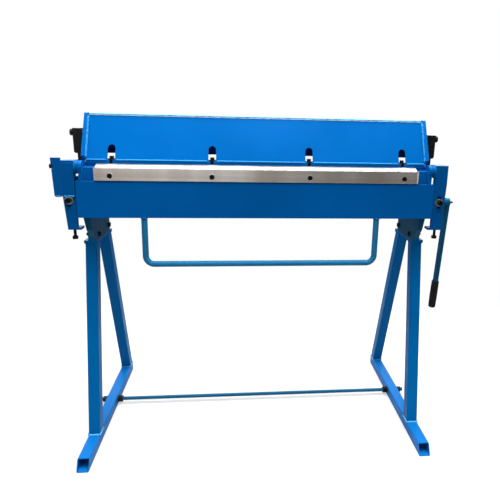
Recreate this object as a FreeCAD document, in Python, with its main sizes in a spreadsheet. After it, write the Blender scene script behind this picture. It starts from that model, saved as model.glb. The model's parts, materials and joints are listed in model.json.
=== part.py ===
import FreeCAD, Part
import os
import Sketcher

# Hand-operated sheet metal brake on an A-frame stand.
# Millimetres, +Z up, +X to the operator's right, +Y away from the operator.
# The drawing datum is the front face of the bending bar (Y), the middle of the bar (X) and
# the floor (Z).  The part's own origin is on the floor, below the middle of the whole brake.

SIZES = [
    ("middle_x", 29.0, "middle of the whole brake from the bar's middle, along X"),
    ("middle_y", 203.0, "middle of the whole brake from the bar's front face, along Y"),
    ("bar_length", 1060.0, "bending bar and nose bar length, the working width"),
    ("bar_height", 40.0, "bending bar height"),
    ("bar_thick", 12.0, "bending bar thickness"),
    ("bar_pitch", 320.0, "distance between the bar's screws"),
    ("bend_y", 20.0, "hinge axis and bend line, at the back of the apron"),
    ("bend_z", 1000.0, "hinge axis, bend line and top of the bed"),
    ("bed_gap", 0.3, "gap between apron and bed"),
    ("bed_back", 290.0, "back face of the bed"),
    ("bed_bottom", 850.0, "underside of the bed"),
    ("table_thick", 10.0, "bed table thickness"),
    ("bed_wall", 6.0, "wall of the bed's folded channel"),
    ("bed_half", 564.0, "half length of the bed over its end plates"),
    ("end_thick", 12.0, "bed end plate thickness"),
    ("ear_low", 840.0, "bottom of the bed ear that carries a hinge bracket"),
    ("ear_high", 945.0, "top of the bed ear"),
    ("left_ear_rise", 26.0, "how much higher the left ear is"),
    ("ear_reach", 624.0, "outer edge of the bed ear"),
    ("apron_half", 587.0, "half length of the apron"),
    ("apron_low", 838.7, "bottom edge of the apron"),
    ("apron_step", 957.0, "top of the apron's front channel"),
    ("apron_front", 3.0, "front face of the apron's channel"),
    ("apron_back", 8.0, "thickness of the apron's back plate"),
    ("apron_sheet", 4.0, "wall of the apron's front channel"),
    ("lug_inner", 565.0, "inner face of a hinge lug"),
    ("lug_thick", 11.0, "hinge lug thickness"),
    ("hub_radius", 21.0, "radius of the hinge lug's eye and the bracket's boss"),
    ("lug_web", 3.0, "closed wall at the inner face of a hinge lug"),
    ("hinge_pin", 16.0, "hinge pin diameter"),
    ("bush_wall", 3.0, "wall of the hinge bushes"),
    ("running", 0.05, "radial clearance of a running fit"),
    ("bracket_inner", 588.5, "inner face of a hinge bracket"),
    ("bracket_wide", 45.0, "width of a hinge bracket"),
    ("bracket_front", 8.3, "front face of a hinge bracket"),
    ("bracket_low", 798.0, "bottom of a hinge bracket"),
    ("bracket_top", 1021.0, "top of a hinge bracket"),
    ("bracket_step", 983.0, "underside of the bracket's pin block"),
    ("bracket_back", 50.0, "back face of the bracket's pin block"),
    ("tab_inner", 579.5, "inner end of the bracket's bottom tab"),
    ("tab_thick", 8.0, "thickness of the bracket's bottom tab"),
    ("clamp_x", 611.0, "bracket clamp screw, from the middle"),
    ("clamp_z", 895.0, "bracket clamp screw height"),
    ("adjuster_x", 609.0, "bracket adjusting screws, half the distance between them"),
    ("adjuster_shift", 3.0, "shift of both adjusting screws to the right"),
    ("beam_front", 41.0, "front face of the beam's base bar"),
    ("ridge_y", 106.0, "ridge of the beam, across"),
    ("ridge_z", 1174.0, "ridge of the beam before it is rounded, height"),
    ("cheek_top", 1170.0, "top of the beam's end plates"),
    ("beam_back", 165.0, "back edge of the beam's bent plate"),
    ("beam_gap", 1035.0, "height of the back plate's lower edge"),
    ("beam_plate", 6.0, "thickness of the beam's bent plate"),
    ("beam_half", 575.5, "half length of the beam over its end plates"),
    ("nose_thick", 10.0, "nose bar thickness"),
    ("nose_tip", 21.5, "tip of the nose bar, 1.5 behind the bend line"),
    ("nose_back", 95.0, "back edge of the nose bar"),
    ("base_thick", 12.0, "base bar thickness"),
    ("base_back", 101.0, "back edge of the base bar"),
    ("slot_pitch", 322.5, "distance between the beam's access slots"),
    ("slot_wide", 25.0, "width of an access slot"),
    ("slot_top", 1070.0, "top of an access slot"),
    ("nose_screw_y", 53.0, "line of the nose screws"),
    ("nose_shank", 8.0, "diameter of the nose screws"),
    ("arm_inner", 583.0, "inner face of a lifting arm's head"),
    ("arm_outer", 614.0, "outer face of a lifting arm's head"),
    ("arm_top", 1119.0, "top of a lifting arm"),
    ("arm_head", 1038.0, "underside of a lifting arm's head"),
    ("arm_front", 90.0, "front edge of a lifting arm"),
    ("arm_deep", 32.0, "width of a lifting arm"),
    ("arm_low", 840.0, "bottom of a lifting arm's tongue"),
    ("tongue_inner", 594.0, "inner face of the tongue"),
    ("tongue_thick", 8.0, "thickness of the tongue"),
    ("arm_bolt_z", 1105.0, "height of the arm's bolt"),
    ("shaft_y", 134.0, "clamp shaft axis, across"),
    ("shaft_z", 874.0, "clamp shaft axis, height"),
    ("shaft_wide", 20.0, "clamp shaft diameter"),
    ("crank_reach", 25.0, "crank pin from the shaft, along Y, with the beam down"),
    ("crank_drop", 20.0, "crank pin below the shaft with the beam down, half of the lift"),
    ("crank_radius", 32.016, "shaft axis to crank pin"),
    ("crank_inner", 580.0, "inner face of a crank"),
    ("crank_thick", 11.0, "thickness of a crank"),
    ("crank_pin", 12.0, "crank pin diameter"),
    ("crank_slack", 0.7, "clearance above and below a crank pin in its slot"),
    ("lever_inner", 693.0, "inner face of the lever"),
    ("lever_thick", 12.0, "lever thickness"),
    ("lever_wide", 24.0, "lever width"),
    ("lever_long", 344.0, "shaft axis to the end of the flat lever"),
    ("lever_lean", 6.5, "lever's lean to the back, degrees"),
    ("hub_wide", 34.0, "diameter of the lever's hub"),
    ("hub_inner", 637.0, "inner face of the lever's hub"),
    ("grip_wide", 29.0, "grip diameter"),
    ("grip_long", 116.0, "grip length"),
    ("tube", 40.0, "outside width of the stand's square tube"),
    ("tube_wall", 2.5, "wall of the square tube"),
    ("tube_inner", 568.0, "inner face of the stand's tubes"),
    ("front_leg_top", 119.0, "front face of the front leg at its top"),
    ("front_leg_low", 13.0, "front face of the front leg at the rail"),
    ("front_leg_deep", 40.5, "horizontal depth of the leaning front leg"),
    ("rear_leg_top", 260.5, "front face of the rear leg at its top"),
    ("rear_leg_low", 484.0, "front face of the rear leg at the rail"),
    ("rear_leg_deep", 42.0, "horizontal depth of the leaning rear leg"),
    ("rail_front", -124.0, "front tip of a foot rail"),
    ("rail_back", 530.0, "back end of a foot rail"),
    ("mitre", 20.0, "how far the rail's top is cut back at the front"),
    ("head_low", 724.0, "underside of the stand's head plate, top of the legs"),
    ("head_thick", 10.0, "thickness of the head plate"),
    ("head_front", 114.0, "front edge of the head plate"),
    ("head_back", 304.0, "back edge of the head plate"),
    ("funnel_inner", 564.0, "inner face of a stand bracket"),
    ("funnel_wide", 28.0, "width of a stand bracket's front flange at its top"),
    ("funnel_narrow", 17.0, "width of the front flange along the cut corner"),
    ("funnel_sheet", 5.0, "sheet of a stand bracket"),
    ("funnel_front", 60.0, "front edge of a stand bracket"),
    ("funnel_top", 960.0, "top of a stand bracket"),
    ("funnel_back", 272.0, "back edge of a stand bracket"),
    ("block_wide", 26.0, "width of the stand head's block"),
    ("stand_bolt_a", 138.0, "front stand bolt, across"),
    ("stand_bolt_a_z", 752.0, "front stand bolt, height"),
    ("stand_bolt_b", 256.0, "back stand bolt, across"),
    ("stand_bolt_b_z", 759.0, "back stand bolt, height"),
    ("rod_wide", 14.0, "tie rod diameter"),
    ("rod_y", 265.0, "tie rod, across"),
    ("rod_half", 636.0, "half length of the tie rod"),
    ("rod_nut", 16.0, "thickness of a tie rod nut"),
    ("rod_washer", 3.0, "thickness of a tie rod washer"),
    ("handle_tube", 20.0, "outside diameter of the U-handle"),
    ("handle_wall", 2.0, "wall of the U-handle's tube"),
    ("handle_y", 11.5, "centre of the U-handle, across"),
    ("handle_left", 380.5, "left leg of the U-handle, from the middle"),
    ("handle_wide", 775.5, "distance between the U-handle's legs"),
    ("handle_low", 680.0, "height of the U-handle's bottom tube"),
    ("handle_bend", 28.0, "bend radius of the U-handle"),
]

doc = FreeCAD.newDocument("sheet_metal_brake")
sheet = doc.addObject("Spreadsheet::Sheet", "Sheet")
NODES = {}


class Size:
    """A length with its number and the sheet expression that it comes from."""

    def __init__(self, value, text):
        self.value = value
        self.text = text

    def __add__(self, other):
        other = as_size(other)
        return Size(self.value + other.value, f"({self.text} + {other.text})")

    def __radd__(self, other):
        return as_size(other) + self

    def __sub__(self, other):
        other = as_size(other)
        return Size(self.value - other.value, f"({self.text} - {other.text})")

    def __rsub__(self, other):
        return as_size(other) - self

    def __mul__(self, factor):
        return Size(self.value * factor, f"({self.text} * {factor})")

    __rmul__ = __mul__

    def __truediv__(self, divisor):
        return Size(self.value / divisor, f"({self.text} / {divisor})")

    def __neg__(self):
        return Size(-self.value, f"(0 - {self.text})")


def as_size(number):
    """Wrap a plain number, so that it can take part in an expression."""
    return number if isinstance(number, Size) else Size(float(number), f"({float(number)})")


class Sizes:
    """The driving dimensions, one attribute for each row of the sheet."""


def fill_sheet():
    """Write the driving dimensions to the sheet and return them by name."""
    table = Sizes()
    for row, (alias, number, note) in enumerate(SIZES, start=1):
        sheet.set(f"A{row}", note)
        sheet.set(f"B{row}", str(number))
        sheet.setAlias(f"B{row}", alias)
        setattr(table, alias, Size(number, f"Sheet.{alias}"))
    doc.recompute()
    return table


D = fill_sheet()
TURN_TO_X = FreeCAD.Rotation(FreeCAD.Vector(0, 1, 0), 90)
TURN_TO_Y = FreeCAD.Rotation(FreeCAD.Vector(1, 0, 0), -90)
NO_TURN = FreeCAD.Rotation()


# ---------------------------------------------------------------- helpers

def bind(thing, prop, number):
    """Tie one property to an expression of the sheet."""
    thing.setExpression(prop, as_size(number).text + " * 1 mm")


def place(thing, x, y, z, turn=NO_TURN):
    """Put an object at a point of the drawing, in the part's own frame."""
    thing.Placement = FreeCAD.Placement(FreeCAD.Vector(0, 0, 0), turn)
    bind(thing, "Placement.Base.x", x - D.middle_x)
    bind(thing, "Placement.Base.y", y - D.middle_y)
    bind(thing, "Placement.Base.z", z)
    return thing


def side_name(label, side):
    return label + ("_right" if side > 0 else "_left")


def side_x(side, inner, thick):
    """Lower X of a slab that lies outside `inner` on one side of the machine."""
    return as_size(inner) if side > 0 else -(as_size(inner) + thick)


def node(name, thing):
    """Register a finished sub-part under its file name."""
    thing.Label = name
    NODES[name] = thing
    return thing


def box(label, x, y, z, long, deep, high):
    thing = doc.addObject("Part::Box", label)
    bind(thing, "Length", long)
    bind(thing, "Width", deep)
    bind(thing, "Height", high)
    return place(thing, as_size(x), as_size(y), as_size(z))


def cylinder(label, x, y, z, wide, high, turn=NO_TURN):
    thing = doc.addObject("Part::Cylinder", label)
    bind(thing, "Radius", as_size(wide) / 2)
    bind(thing, "Height", high)
    return place(thing, as_size(x), as_size(y), as_size(z), turn)


def hexagon(label, x, y, z, flats, high, turn=NO_TURN):
    """A hexagonal prism, `flats` across its flats."""
    thing = doc.addObject("Part::Prism", label)
    thing.Polygon = 6
    bind(thing, "Circumradius", as_size(flats) * 0.57735)
    bind(thing, "Height", high)
    return place(thing, as_size(x), as_size(y), as_size(z), turn)


def fuse(label, things):
    thing = doc.addObject("Part::MultiFuse", label)
    thing.Shapes = things
    return thing


def cut(label, base, tools):
    thing = doc.addObject("Part::Cut", label)
    thing.Base = base
    thing.Tool = tools[0] if len(tools) == 1 else fuse(label + "_tools", tools)
    return thing


def group(label, things):
    """Identical pieces that share one node, as separate solids."""
    thing = doc.addObject("Part::Compound", label)
    thing.Links = things
    return thing


def body(label, x, y, z):
    thing = doc.addObject("PartDesign::Body", label)
    return place(thing, as_size(x), as_size(y), as_size(z))


def sketch_on(owner, plane, offset=0):
    """A sketch on one of the body's own origin planes, moved along its normal."""
    sketch = owner.newObject("Sketcher::SketchObject", owner.Name + "_sketch")
    support = [f for f in owner.Origin.OriginFeatures if f.Role == plane][0]
    sketch.AttachmentSupport = [(support, "")]
    sketch.MapMode = "FlatFace"
    if offset:
        bind(sketch, "AttachmentOffset.Base.z", offset)
    return sketch


def fix_point(sketch, item, end, u, v):
    """Dimension one sketch point from the sketch's origin."""
    for kind, axis, number in (("DistanceX", -2, u), ("DistanceY", -1, v)):
        if isinstance(number, (int, float)) and number == 0:
            sketch.addConstraint(Sketcher.Constraint("PointOnObject", item, end, axis))
            continue
        number = as_size(number)
        rule = Sketcher.Constraint(kind, -1, 1, item, end, number.value)
        index = sketch.addConstraint(rule)
        bind(sketch, f"Constraints[{index}]", number)


def outline(owner, plane, points, offset=0):
    """A closed polygon whose corners are all dimensioned."""
    sketch = sketch_on(owner, plane, offset)
    corners = [FreeCAD.Vector(as_size(u).value, as_size(v).value, 0) for u, v in points]
    count = len(corners)
    for i in range(count):
        line = Part.LineSegment(corners[i], corners[(i + 1) % count])
        sketch.addGeometry(line, False)
    for i in range(count):
        sketch.addConstraint(Sketcher.Constraint("Coincident", i, 2, (i + 1) % count, 1))
    for i, (u, v) in enumerate(points):
        fix_point(sketch, i, 1, u, v)
    return sketch


def circles(owner, plane, centres, wide, offset=0):
    """Circles of one diameter, each centre dimensioned."""
    sketch = sketch_on(owner, plane, offset)
    wide = as_size(wide)
    for item, (u, v) in enumerate(centres):
        centre = FreeCAD.Vector(as_size(u).value, as_size(v).value, 0)
        sketch.addGeometry(Part.Circle(centre, FreeCAD.Vector(0, 0, 1), wide.value / 2), False)
        index = sketch.addConstraint(Sketcher.Constraint("Diameter", item, wide.value))
        bind(sketch, f"Constraints[{index}]", wide)
        fix_point(sketch, item, 3, u, v)
    return sketch


def slot_outline(owner, plane, u, v, wide, high):
    """An upright slot with round ends, centred on u, v."""
    sketch = sketch_on(owner, plane)
    radius = as_size(wide) / 2
    rise = (as_size(high) - wide) / 2
    left, right = (u - radius).value, (u + radius).value
    low, top = (v - rise).value, (v + rise).value
    up = FreeCAD.Vector(0, 0, 1)
    sketch.addGeometry(Part.LineSegment(FreeCAD.Vector(right, low, 0), FreeCAD.Vector(right, top, 0)))
    upper = Part.Circle(FreeCAD.Vector(u.value, top, 0), up, radius.value)
    sketch.addGeometry(Part.ArcOfCircle(upper, 0, 3.14159265))
    sketch.addGeometry(Part.LineSegment(FreeCAD.Vector(left, top, 0), FreeCAD.Vector(left, low, 0)))
    lower = Part.Circle(FreeCAD.Vector(u.value, low, 0), up, radius.value)
    sketch.addGeometry(Part.ArcOfCircle(lower, 3.14159265, 6.2831853))
    for item, after in ((0, 1), (1, 2), (2, 3), (3, 0)):
        sketch.addConstraint(Sketcher.Constraint("Tangent", item, 2, after, 1))
    index = sketch.addConstraint(Sketcher.Constraint("Radius", 1, radius.value))
    bind(sketch, f"Constraints[{index}]", radius)
    fix_point(sketch, 1, 3, u, v + rise)
    fix_point(sketch, 3, 3, u, v - rise)
    return sketch


def pad(owner, sketch, long, backwards=False):
    feature = owner.newObject("PartDesign::Pad", owner.Name + "_pad")
    feature.Profile = sketch
    feature.Reversed = backwards
    bind(feature, "Length", long)
    return feature


def pocket(owner, sketch, deep, backwards=False):
    """Cut a sketch out of the body, and make sure that it removes something."""
    doc.recompute()
    before = owner.Shape.Volume
    feature = owner.newObject("PartDesign::Pocket", owner.Name + "_pocket")
    feature.Profile = sketch
    feature.Reversed = backwards
    bind(feature, "Length", deep)
    doc.recompute()
    if owner.Shape.Volume > before - 1:
        raise RuntimeError(f"{owner.Label}: a pocket cuts nothing")
    return feature


def round_edges(owner, radius, picks):
    """Fillet the edges of the body's last feature that `picks` accepts."""
    doc.recompute()
    base = owner.Tip
    chosen = [f"Edge{i}" for i, edge in enumerate(base.Shape.Edges, start=1) if picks(edge)]
    feature = owner.newObject("PartDesign::Fillet", owner.Name + "_fillet")
    feature.Base = (base, chosen)
    feature.Radius = radius
    return feature


def lies_along(edge, axis):
    """True for a straight edge parallel to an axis: 0 is X, 1 is Y, 2 is Z."""
    if not isinstance(edge.Curve, (Part.Line, Part.LineSegment)):
        return False
    return abs(edge.tangentAt(edge.FirstParameter)[axis]) > 0.999


# ---------------------------------------------------------------- the bed

BED_FRONT = D.bend_y + D.bed_gap


def make_bed():
    """The table, the folded channel below it and the end plates with their ears."""
    inside = D.bed_half - D.end_thick
    node("bed_table", box("table", -D.bed_half, BED_FRONT, D.bend_z - D.table_thick,
                          D.bed_half * 2, D.bed_back - BED_FRONT, D.table_thick))

    high = D.bend_z - D.table_thick - D.bed_bottom
    deep = D.bed_back - BED_FRONT
    channel = body("channel", -inside, BED_FRONT, D.bed_bottom)
    wall = D.bed_wall
    lip = wall * 5
    profile = [(0, 0), (lip, 0), (lip, wall), (wall, wall), (wall, high - wall),
               (deep - wall, high - wall), (deep - wall, wall), (deep - lip, wall),
               (deep - lip, 0), (deep, 0), (deep, high), (0, high)]
    pad(channel, outline(channel, "YZ_Plane", profile), inside * 2)
    node("bed_channel", channel)

    for side in (-1, 1):
        low_x = side_x(side, inside, D.end_thick)
        plate = box("plate", low_x, BED_FRONT, D.bed_bottom, D.end_thick, deep, high)
        reach = D.ear_reach - D.bed_half
        ear_x = side_x(side, D.bed_half, reach)
        tall = D.ear_high - D.ear_low + (0 if side > 0 else D.left_ear_rise)
        ear = box("ear", ear_x, BED_FRONT, D.ear_low, reach, D.end_thick, tall)
        bore = cylinder("bore", low_x - 5, D.shaft_y, D.shaft_z, D.shaft_wide + 8,
                        D.end_thick + 10, TURN_TO_X)
        tapped = cylinder("tapped", D.clamp_x * side, BED_FRONT - 5, D.clamp_z, 12,
                          D.end_thick + 10, TURN_TO_Y)
        tools = [bore, tapped]
        for y, z in BED_BOLTS:
            tools.append(cylinder("bolt_hole", low_x - 5, y, z, 10, D.end_thick + 10, TURN_TO_X))
        whole = fuse("plate_and_ear", [plate, ear])
        node(side_name("bed_end_plate", side), cut("bed_end", whole, tools))


STAND_BOLTS = [(D.stand_bolt_a, D.stand_bolt_a_z), (D.stand_bolt_b, D.stand_bolt_b_z)]
BED_BOLTS = [(D.bed_back - 100, D.bed_bottom + 75), (D.bed_back - 38, D.bed_bottom + 75)]


def make_shaft_bushes():
    """Plain bearings of the clamp shaft, one in each bed end plate."""
    bushes = []
    for side in (-1, 1):
        low_x = side_x(side, D.bed_half - D.end_thick, D.end_thick)
        sleeve = cylinder("sleeve", low_x, D.shaft_y, D.shaft_z, D.shaft_wide + 8,
                          D.end_thick, TURN_TO_X)
        collar = cylinder("collar", side_x(side, D.bed_half, 3), D.shaft_y, D.shaft_z,
                          D.shaft_wide + 16, 3, TURN_TO_X)
        hole = cylinder("hole", low_x - 5, D.shaft_y, D.shaft_z, D.shaft_wide + D.running * 2,
                        D.end_thick + 12, TURN_TO_X)
        bushes.append(cut("bush", fuse("sleeve_and_collar", [sleeve, collar]), [hole]))
    node("shaft_bushes", group("bush_group", bushes))


def make_lever_bearing():
    """Outboard bearing plate beside the lever, behind the right ear."""
    low_x = D.ear_reach - D.end_thick
    front = BED_FRONT + D.end_thick
    plate = box("outboard", low_x, front, D.shaft_z - 24, D.end_thick,
                D.shaft_y + 22 - front, 48)
    hole = cylinder("outboard_hole", low_x - 5, D.shaft_y, D.shaft_z,
                    D.shaft_wide + D.running * 2, D.end_thick + 10, TURN_TO_X)
    node("lever_bearing_plate", cut("outboard_plate", plate, [hole]))


def make_arm_guides():
    """Blocks on the bed ends that keep the lifting arms upright."""
    slide = 0.2
    for side in (-1, 1):
        reach = D.tongue_inner + D.tongue_thick + 6 - D.bed_half
        block = box("guide", side_x(side, D.bed_half, reach), D.arm_front - 8, 915,
                    reach, D.arm_deep + 16, 35)
        hole = box("guide_hole", side_x(side, D.tongue_inner - slide, D.tongue_thick + slide * 2),
                   D.arm_front - slide, 910, D.tongue_thick + slide * 2,
                   D.arm_deep + slide * 2, 45)
        node(side_name("arm_guide", side), cut("guide_block", block, [hole]))


# ---------------------------------------------------------------- the hinge brackets

def make_hinge_brackets():
    """Side brackets with the hinge pins, clamped to the bed ears through upright slots."""
    for side in (-1, 1):
        low_x = side_x(side, D.bracket_inner, D.bracket_wide)
        thick = BED_FRONT - D.bracket_front
        high = D.bracket_top - D.bracket_low
        waist = D.apron_step - D.bracket_low
        outer = D.bracket_inner + D.bracket_wide
        inner_low = D.bracket_inner + 2
        outer_low = outer - (8 if side > 0 else 13)
        plate = body("bracket", low_x, D.bracket_front, D.bracket_low)
        shape = [(inner_low, 0), (outer_low, 0), (outer, waist), (outer, high),
                 (D.bracket_inner, high), (D.bracket_inner, waist)]
        points = []
        for reach, level in shape:
            u = reach * side - low_x
            points.append((0 if abs(u.value) < 1e-9 else u, level))
        pad(plate, outline(plate, "XZ_Plane", points), thick, backwards=True)
        u = D.clamp_x * side - low_x
        slot = slot_outline(plate, "XZ_Plane", u, D.clamp_z - D.bracket_low, 14, 44)
        pocket(plate, slot, thick + 1)

        block = box("pin_block", low_x, BED_FRONT, D.bracket_step, D.bracket_wide,
                    D.bracket_back - BED_FRONT, D.bracket_top - D.bracket_step)
        boss_inner = D.lug_inner + D.lug_thick + 1
        boss = cylinder("boss", side_x(side, boss_inner, D.bracket_inner - boss_inner),
                        D.bend_y, D.bend_z, D.hub_radius * 2, D.bracket_inner - boss_inner,
                        TURN_TO_X)
        tab_wide = outer_low - D.tab_inner
        tab = box("tab", side_x(side, D.tab_inner, tab_wide), D.bracket_front,
                  D.bracket_low, tab_wide, 30, D.tab_thick)
        hole = cylinder("pin_hole", side_x(side, D.lug_inner, 80), D.bend_y, D.bend_z,
                        D.hinge_pin, 80, TURN_TO_X)
        screw_hole = cylinder("adjuster_hole", D.adjuster_x * side + D.adjuster_shift,
                              BED_FRONT + 6, D.bracket_low - 5, 10, D.tab_thick + 10)
        whole = fuse("bracket_whole", [plate, block, boss, tab])
        node(side_name("hinge_bracket", side), cut("bracket_cut", whole, [hole, screw_hole]))

        pin_inner = D.lug_inner + D.lug_web + 0.5
        pin_long = D.bracket_inner + 30 - pin_inner
        pin_x = side_x(side, pin_inner, pin_long)
        node(side_name("hinge_pin", side), cylinder("pin", pin_x, D.bend_y, D.bend_z,
                                                    D.hinge_pin, pin_long, TURN_TO_X))


def make_bracket_hardware():
    """Clamp screws with washers, and the screws that set the brackets' height."""
    screws, washers, adjusters = [], [], []
    for side in (-1, 1):
        x = D.clamp_x * side
        ring = cylinder("clamp_ring", x, D.bracket_front - 2.5, D.clamp_z, 27, 2.5, TURN_TO_Y)
        eye = cylinder("clamp_eye", x, D.bracket_front - 5, D.clamp_z, 13, 10, TURN_TO_Y)
        washers.append(cut("clamp_washer", ring, [eye]))
        head_y = D.bracket_front - 2.5 - 12
        head = cylinder("clamp_head", x, head_y, D.clamp_z, 18, 12, TURN_TO_Y)
        socket = hexagon("clamp_socket", x, head_y - 1, D.clamp_z, 10, 7, TURN_TO_Y)
        shank = cylinder("clamp_shank", x, head_y + 12, D.clamp_z, 12,
                         BED_FRONT + D.end_thick - head_y - 12, TURN_TO_Y)
        screws.append(fuse("clamp_screw", [cut("clamp_top", head, [socket]), shank]))

        x = D.adjuster_x * side + D.adjuster_shift
        tip = D.ear_low
        low = D.bracket_low - 34
        bolt = hexagon("adjuster_head", x, BED_FRONT + 6, low, 17, 10)
        thread = cylinder("adjuster_thread", x, BED_FRONT + 6, low + 10, 10, tip - low - 10)
        adjusters.append(fuse("adjuster", [bolt, thread]))
    node("bracket_clamp_screws", group("clamp_screws", screws))
    node("bracket_clamp_washers", group("clamp_washers", washers))
    node("bracket_adjusting_screws", group("adjusters", adjusters))


def make_stop_housing():
    """Folded cover on the left bracket: raised corner, notch and the set screw in it."""
    outer = D.bracket_inner + 68
    front = D.bracket_front - 5
    low, high = as_size(909), as_size(1014)
    strip = body("cover_strip", -outer, front - 2, low)
    rise = high - low
    shape = [(as_size(5), 0), (as_size(29), 0), (as_size(29), rise + 16), (0, rise + 16)]
    pad(strip, outline(strip, "XZ_Plane", shape), as_size(7), backwards=True)
    face = box("cover_face", -outer + 29, front, low, 37, 5, rise)
    flank = box("cover_flank", -outer + 10, D.bracket_front, low, 6, 42, rise)
    sill = box("cover_sill", -outer + 16, D.bracket_front, low, 7, 42, 6)
    whole = fuse("cover_whole", [strip, face, flank, sill])
    screw_y, screw_z = D.bracket_front - 1, high - 11
    notch = box("cover_notch", -outer - 1, front - 3, screw_z - 8, 6, 20, 16)
    hole = cylinder("cover_hole", -outer + 3, screw_y, screw_z, 8, 26, TURN_TO_X)
    node("stop_housing", cut("cover_cut", whole, [notch, hole]))
    end = D.bracket_inner + D.bracket_wide
    shank = cylinder("set_shank", -outer + 3.5, screw_y, screw_z, 8, outer - 3.5 - end, TURN_TO_X)
    head = hexagon("set_head", -outer - 4.5, screw_y, screw_z, 13, 8, TURN_TO_X)
    node("housing_set_screw", fuse("set_screw", [shank, head]))


# ---------------------------------------------------------------- the stand

def make_stand_brackets():
    """Plates on the bed ends, each with a bent front flange and a cut lower corner."""
    low = D.head_low + D.head_thick
    for side in (-1, 1):
        low_x = side_x(side, D.funnel_inner, D.funnel_sheet)
        bracket = body("bracket_plate", low_x, 0, low)
        shape = [(D.funnel_front, 51), (D.funnel_front + 47, 0), (D.funnel_back, 0),
                 (D.funnel_back, D.funnel_top - low), (D.funnel_back - 100, D.funnel_top - low),
                 (D.shaft_y + 20, 190), (D.shaft_y + 20, 112), (D.funnel_front, 112)]
        shape = [(u, as_size(v)) if v != 0 else (u, 0) for u, v in shape]
        pad(bracket, outline(bracket, "YZ_Plane", shape), D.funnel_sheet)

        wide = D.funnel_wide
        flange = body("flange", side_x(side, D.funnel_inner, wide), D.funnel_front, low)
        bend, rise, narrow = as_size(51), as_size(116), D.funnel_narrow
        shape = [(0, bend), (narrow, bend), (wide, rise), (0, rise)]
        shape = [(u if side > 0 else wide - as_size(u), v) for u, v in shape]
        shape = [(0 if as_size(u).value == 0 else u, v) for u, v in shape]
        pad(flange, outline(flange, "XZ_Plane", shape), D.funnel_sheet, backwards=True)

        toe = body("flange_toe", side_x(side, D.funnel_inner, narrow), D.funnel_front, low)
        shape = [(0, bend), (47, 0), (D.funnel_sheet * 1.4 + 47, 0), (D.funnel_sheet, bend + 1.5)]
        pad(toe, outline(toe, "YZ_Plane", shape), narrow)
        holes = []
        for y, z in STAND_BOLTS:
            holes.append(cylinder("bracket_hole", low_x - 5, y, z, 10.5, D.funnel_sheet + 10,
                                  TURN_TO_X))
        for y, z in BED_BOLTS:
            holes.append(cylinder("bracket_hole", low_x - 5, y, z, 10.5, D.funnel_sheet + 10,
                                  TURN_TO_X))
        whole = fuse("bracket_and_flange", [bracket, flange, toe])
        node(side_name("stand_bracket", side), cut("stand_bracket_cut", whole, holes))


def make_stand_heads():
    """Head plates on the legs, each with a square block beside its bracket."""
    for side in (-1, 1):
        plate = box("head", side_x(side, D.tube_inner - 2, D.tube + 4), D.head_front, D.head_low,
                    D.tube + 4, D.head_back - D.head_front, D.head_thick)
        inner = D.funnel_inner + D.funnel_sheet
        top = D.head_low + D.head_thick
        block = box("head_block", side_x(side, inner, D.block_wide), D.head_front, top,
                    D.block_wide, D.funnel_back - D.head_front, 46)
        holes = []
        for y, z in STAND_BOLTS:
            holes.append(cylinder("head_hole", side_x(side, inner - 5, D.block_wide + 10), y, z,
                                  10.5, D.block_wide + 10, TURN_TO_X))
        whole = fuse("head_whole", [plate, block])
        node(side_name("stand_head", side), cut("head_cut", whole, holes))


def make_leg(label, side, top_y, low_y, deep):
    """A leaning square tube between foot rail and head plate, open at both ends."""
    rise = D.head_low - D.tube
    leg = body("leg", side_x(side, D.tube_inner, D.tube), 0, D.tube)
    skin = [(low_y, 0), (low_y + deep, 0), (top_y + deep, rise), (top_y, rise)]
    pad(leg, outline(leg, "YZ_Plane", skin), D.tube)
    round_edges(leg, 4, lambda e: e.Length > 300)
    wall = D.tube_wall
    run = (top_y - low_y) / 50
    room = [(low_y + wall - run, -rise / 50), (low_y + deep - wall - run, -rise / 50),
            (top_y + deep - wall + run, rise + rise / 50), (top_y + wall + run, rise + rise / 50)]
    pocket(leg, outline(leg, "YZ_Plane", room, wall), D.tube - wall * 2, backwards=True)
    node(side_name(label, side), leg)


def make_foot_rails():
    """Square tubes on the floor, cut back at the front, with the tie rod's holes."""
    for side in (-1, 1):
        rail = body("rail", side_x(side, D.tube_inner, D.tube), D.rail_front, 0)
        long = D.rail_back - D.rail_front
        skin = [(0, 0), (long, 0), (long, D.tube), (D.mitre, D.tube)]
        pad(rail, outline(rail, "YZ_Plane", skin), D.tube)
        round_edges(rail, 4, lambda e: lies_along(e, 1))
        wall = D.tube_wall
        far = D.tube - wall
        room = [(wall, wall), (far, wall), (far, far), (wall, far)]
        pocket(rail, outline(rail, "XZ_Plane", room), long + 1)
        rod = circles(rail, "YZ_Plane", [(D.rod_y - D.rail_front, D.tube / 2)], D.rod_wide + 1)
        pocket(rail, rod, D.tube + 1, backwards=True)
        node(side_name("foot_rail", side), rail)


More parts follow.
